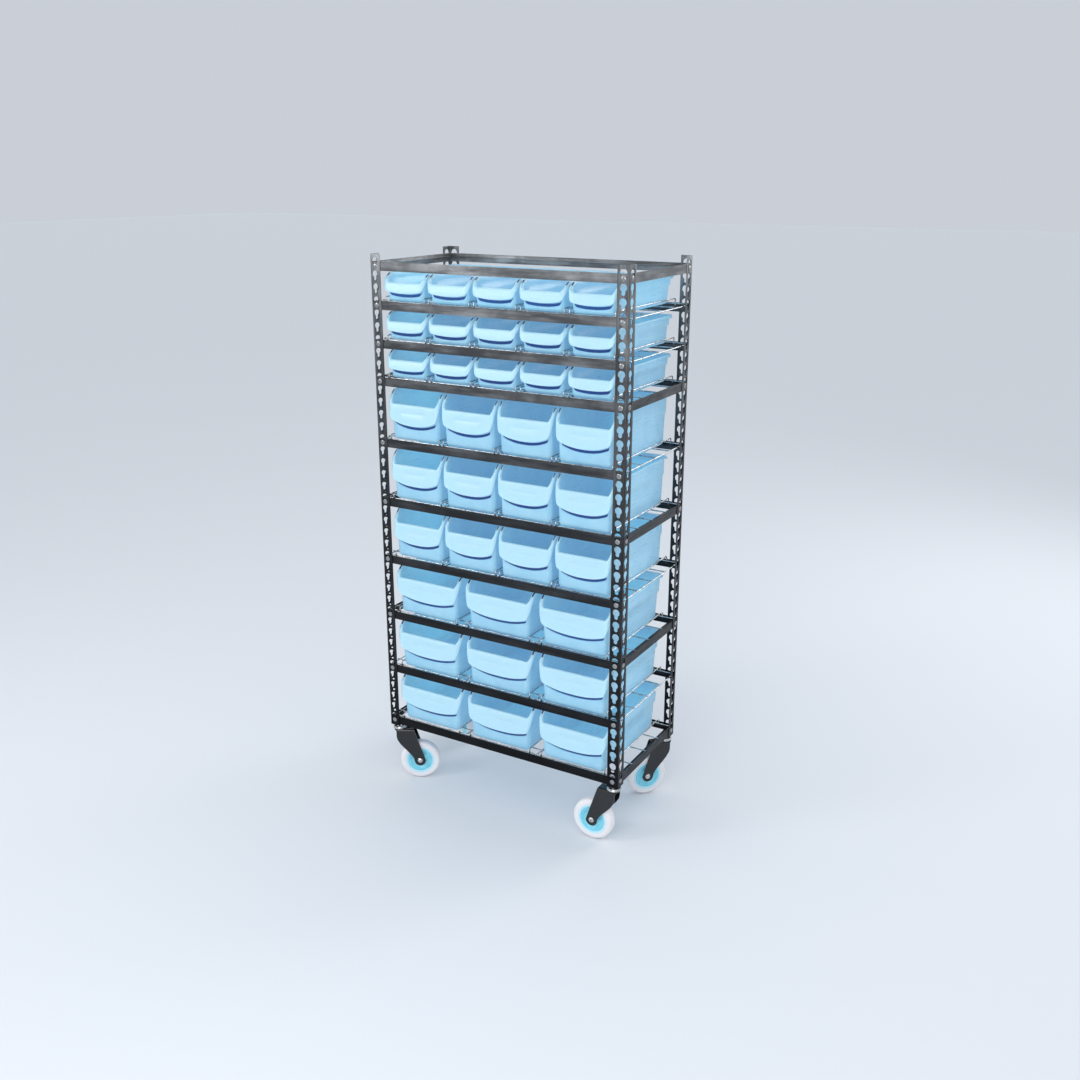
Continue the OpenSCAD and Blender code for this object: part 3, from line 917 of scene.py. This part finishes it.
# %% Path and edges of the strip
def strip_path():
    """Where each row of the strip lies: sideways from the middle, and height."""
    rows = []
    for angle in (90, 75, 55, 35, 15, 0):
        rows.append((FORK_HALF, AXLE_Z - FOOT_R * math.sin(math.radians(angle))))
    for z in (74, 86, 100, 115, 130, 145, 158, 169):
        rows.append((FORK_HALF, z))
    for angle in (0, 22, 45, 68, 90):
        a = math.radians(angle)
        rows.append(
            (FORK_HALF - BEND_R * (1 - math.cos(a)), FORK_TOP - BEND_R * (1 - math.sin(a)))
        )
    rows += [(8, FORK_TOP), (4, FORK_TOP), (0, FORK_TOP)]
    return rows + [(-v, z) for v, z in rows[-2::-1]]


def strip_edges(v, z):
    """The strip's two edges along the trail direction, at one place of the path."""
    if z <= AXLE_Z:
        half = math.sqrt(max(FOOT_R**2 - (AXLE_Z - z) ** 2, 0.3))
        return TRAIL - half, TRAIL + half
    up = (z - AXLE_Z) / (FORK_TOP - AXLE_Z)
    rear = mix(TRAIL + FOOT_R, REAR_TOP, up)
    nose = mix(TRAIL - FOOT_R, NOSE_TOP, smoothstep(up * 1.3) ** 0.9)
    if z > FORK_TOP - BEND_R:
        nose -= NOSE_BULGE * math.sqrt(max(0.0, 1 - (v / FORK_HALF) ** 2))
    return nose, rear


print("rows over the arch:", len(strip_path()))


# %% The pressed forks
def pressed_fork():
    rows, columns = strip_path(), 9
    bm = bmesh.new()
    bmesh.ops.create_grid(bm, x_segments=columns, y_segments=len(rows) - 1, size=1)
    bm.verts.ensure_lookup_table()
    spots = sorted(bm.verts, key=lambda p: (round(p.co.y, 4), round(p.co.x, 4)))
    for index, vert in enumerate(spots):
        row, column = divmod(index, columns + 1)
        v, z = rows[row]
        nose, rear = strip_edges(v, z)
        vert.co = Vector((mix(nose, rear, column / columns), v, z)) * MM
    bmesh.ops.recalc_face_normals(bm, faces=bm.faces)
    top = max(bm.faces, key=lambda f: f.calc_center_median().z)
    if top.normal.z < 0:
        bmesh.ops.reverse_faces(bm, faces=bm.faces)
    return bm


for corner, head_place in zip(corners, head_places):
    swivel, roll = joints["swivel_" + corner], joints["roll_" + corner]
    away = Vector(roll["pos_m"]) - Vector(swivel["pos_m"])
    turn = Matrix.Rotation(math.atan2(away.y, away.x), 4, "Z")
    bm = pressed_fork()
    bmesh.ops.transform(bm, matrix=head_place @ turn, verts=bm.verts)
    fork = finish_piece(
        "pressed_fork_" + corner,
        bm,
        "castor_" + corner,
        fork_enamel,
        replaces=("castor_fork_" + corner,),
    )
    sheet = fork.modifiers.new("sheet_thickness", "SOLIDIFY")
    sheet.thickness = FORK_SHEET * MM
    sheet.offset = -1
    sheet.use_even_offset = False
    soften(fork, bevel=0.7, angle=45)
print("forks:", len(corners))

# %% [markdown]
# Axle, hub and tyre share one axis, so all three are spun. The axle is a bolt with a dome at either
# end. The hub is dished: a collar round the axle, a web, and a rim with a groove that shows as a darker
# ring. The tyre has a flat tread with well rounded shoulders. Each profile lists one half of the piece,
# as the radius and the distance from the middle plane of the wheel, and is mirrored. Every point of
# the mesh gets an attribute called near_hub, which tints the rubber next to the hub.

# %% Profiles of axle, hub and tyre
AXLE_PROFILE = [(0, 24), (4, 23.7), (7, 22.6), (8.7, 21.2), (9, 20.6), (6, 20.6)]
HUB_PROFILE = [
    (6.1, 17.1),
    (14.5, 17.1),
    (16, 15.8),
    (17, 8.5),
    (22, 7.6),
    (30, 8.6),
    (33, 11),
    (34.2, 13.4),
    (37, 13.4),
    (37.4, 10.6),
    (38.6, 10.6),
    (39, 13.4),
    (40, 13.4),
    (40, 6),
]
TYRE_PROFILE = [
    (40, 12),
    (40, 14.2),
    (42, 15),
    (52, 15.7),
    (58, 16),
    (61, 15.6),
    (64, 13.6),
    (66, 10.6),
    (66.8, 7),
    (67, 3),
]
print("tyre radius:", TYRE_PROFILE[-1][0])

# %% Spin the wheels
TINT_START, TINT_RUN = 38, 14  # the rubber's tint fades outwards from this radius, over this run, mm


def on_axle(profile, roll, steps):
    whole = profile + [(r, -z) for r, z in reversed(profile)]
    bm = spun(whole, steps, axis=roll["axis"])
    axis = Vector(roll["axis"])
    near_hub = bm.verts.layers.float.new("near_hub")
    for vert in bm.verts:
        radius = (vert.co - axis * vert.co.dot(axis)).length / MM
        vert[near_hub] = 1 - smoothstep((radius - TINT_START) / TINT_RUN)
    bmesh.ops.translate(bm, verts=bm.verts, vec=roll["pos_m"])
    return bm


for corner in corners:
    roll = joints["roll_" + corner]
    axle = finish_piece(
        "axle_bolt_" + corner,
        on_axle(AXLE_PROFILE, roll, 24),
        "castor_" + corner,
        plated_head,
    )
    hub = finish_piece(
        "dished_hub_" + corner,
        on_axle(HUB_PROFILE, roll, 48),
        "wheel_" + corner,
        hub_nylon,
        replaces=("wheel_hub_" + corner,),
    )
    tyre = finish_piece(
        "round_tyre_" + corner,
        on_axle(TYRE_PROFILE, roll, 64),
        "wheel_" + corner,
        tyre_rubber,
        replaces=("tyre_" + corner,),
    )
    for piece, angle in ((axle, 40), (hub, 35), (tyre, 45)):
        shade_turned(piece, angle)
print("wheels:", len(corners))

# %% [markdown]
# The stage is a wide pale floor under a pale sky, which is a little darker where the camera sees it
# than where it lights the rack. Four large soft lamps light the rack: one high in front, a low one
# that fills the front of the bins, one from the left and one from behind, so that rims and beams get
# a bright edge.

# %% Floor and sky
floor_mesh = bmesh.new()
bmesh.ops.create_grid(floor_mesh, x_segments=4, y_segments=4, size=40)
floor_data = bpy.data.meshes.new("floor")
floor_mesh.to_mesh(floor_data)
floor_mesh.free()
floor_paint, _, _ = new_material("pale_studio_floor", "#DCE0E5", 0.0, 0.7)
floor_data.materials.append(floor_paint)
floor_object = bpy.data.objects.new("floor", floor_data)
bpy.context.scene.collection.objects.link(floor_object)

world = bpy.data.worlds.new("pale_studio")
bpy.context.scene.world = world
world.use_nodes = True
sky = world.node_tree.nodes["Background"]
seen = add_node(world.node_tree, "LightPath")["Is Camera Ray"]
sky_colour = {FACTOR: seen, FIRST_COLOUR: linear("#E6EAEF"), SECOND_COLOUR: linear("#CACFD7")}
sky_colour = add_node(world.node_tree, "Mix", sky_colour, data_type="RGBA")[MIXED_COLOUR]
set_inputs(world.node_tree, sky, {"Color": sky_colour, "Strength": 1.0})
print("floor and sky ready")


# %% Lamps
def soft_lamp(name, place, aim, size, power):
    lamp = bpy.data.lights.new(name, "AREA")
    lamp.shape = "RECTANGLE"
    lamp.size, lamp.size_y = size
    lamp.energy = power
    holder = bpy.data.objects.new(name, lamp)
    holder.location = place
    holder.rotation_euler = (Vector(aim) - Vector(place)).to_track_quat("-Z", "Y").to_euler()
    bpy.context.scene.collection.objects.link(holder)


LAMPS = {  # place in m, width and height in m, power in W
    "high_front": ((0.8, -2.6, 3.6), (2.4, 1.6), 15),
    "front_fill": ((1.2, -3.8, 1.8), (2.6, 1.4), 38),
    "left_front": ((-2.4, -3.0, 2.6), (1.0, 1.4), 30),
    "right_back": ((2.2, 3.2, 2.6), (1.6, 1.6), 36),
}
middle = (0, 0, cad_box[1][2] / 2)
for lamp_name, (place, size, power) in LAMPS.items():
    soft_lamp(lamp_name, place, middle, size, power)
print("lamps:", len(LAMPS))

# %% [markdown]
# The camera stands in front to the right, a little above the rack, and looks down by 18 degrees.

# %% Camera
camera_data = bpy.data.cameras.new("view")
camera_data.sensor_width = 36
camera_data.lens = 37.71
camera = bpy.data.objects.new("view", camera_data)
camera.location = (1.7377, -2.9231, 1.9766)
camera.rotation_euler = (math.radians(71.872), 0, math.radians(30.219))
bpy.context.scene.collection.objects.link(camera)
bpy.context.scene.camera = camera
bpy.context.scene.view_settings.view_transform = "Standard"
print("camera height:", camera.location.z)

# %% [markdown]
# Last, the box of the CAD model is printed.

# %% Print the CAD box
print("cad", [list(c) for c in cad_box])
